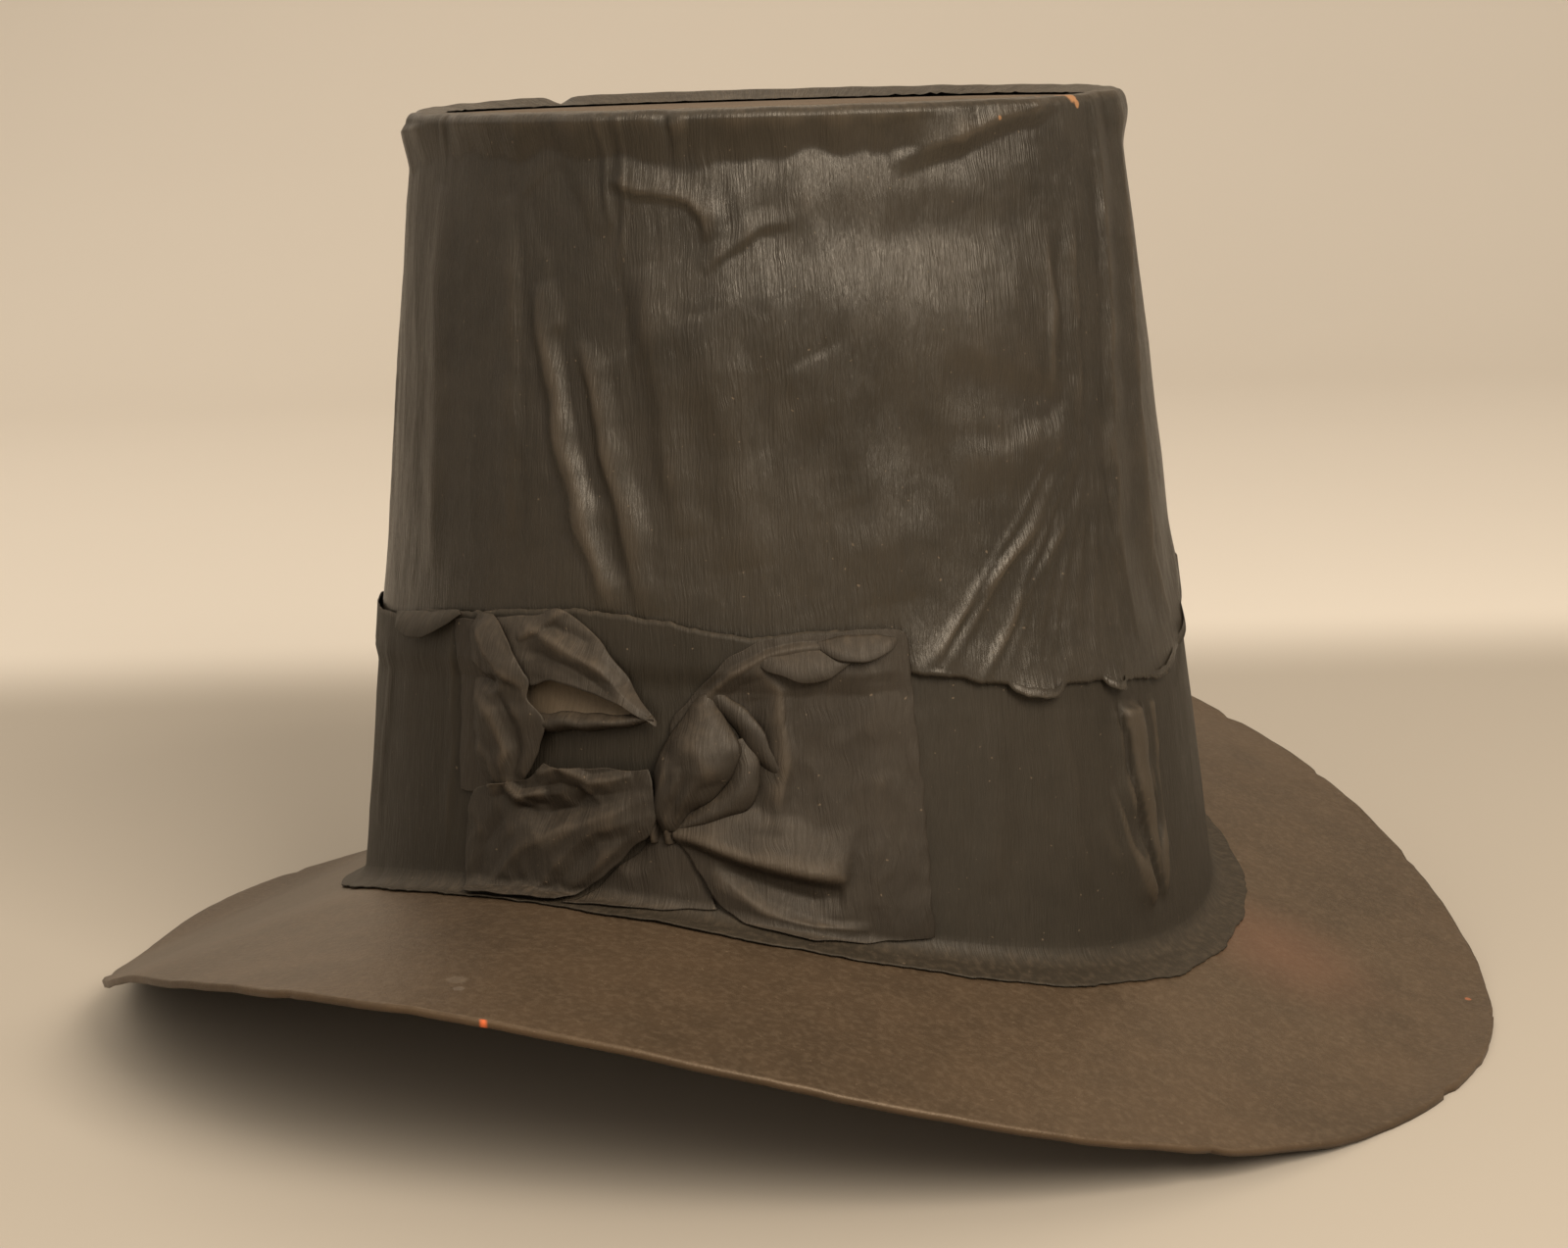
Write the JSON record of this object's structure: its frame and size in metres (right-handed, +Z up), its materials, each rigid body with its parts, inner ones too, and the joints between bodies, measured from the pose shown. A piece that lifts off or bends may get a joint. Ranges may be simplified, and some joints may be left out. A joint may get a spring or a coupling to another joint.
{
  "type": "paper pilgrim hat",
  "caption": "Tall tapered pilgrim hat of card covered in dark crepe paper, with an arched round brim and a crushed paper bow on one side.",
  "frame": {"origin": "on the table that the hat rests on, under the middle of the brim", "axes": "+Z up, X from the front of the hat at -X to its back at +X, where the brim dips to the table, and Y across it, with the bow on the -Y side, the wearer's left"},
  "size_m": [0.332, 0.328, 0.2075],
  "materials": {
    "brim_card": "matte brown-black painted card with a soft dusty bloom",
    "wall_card": "matte grey-brown card",
    "top_card": "matte faded brown card",
    "cover_crepe": "faded black crepe paper with a satin sheen on its fine vertical crinkle",
    "band_crepe": "matte faded black crepe paper",
    "bow_crepe": "matte faded black crepe paper, rubbed lighter on its folds"
  },
  "bodies": {
    "root": {"brim": "brim_card", "crown_wall": "wall_card", "crown_top": "top_card", "crepe_cover": "cover_crepe", "hat_band": "band_crepe", "bow_knot": "bow_crepe", "bow_left_loop": "bow_crepe", "bow_right_loop": "bow_crepe", "bow_left_tail": "bow_crepe", "bow_right_tail": "bow_crepe"}
  },
  "joints": []
}
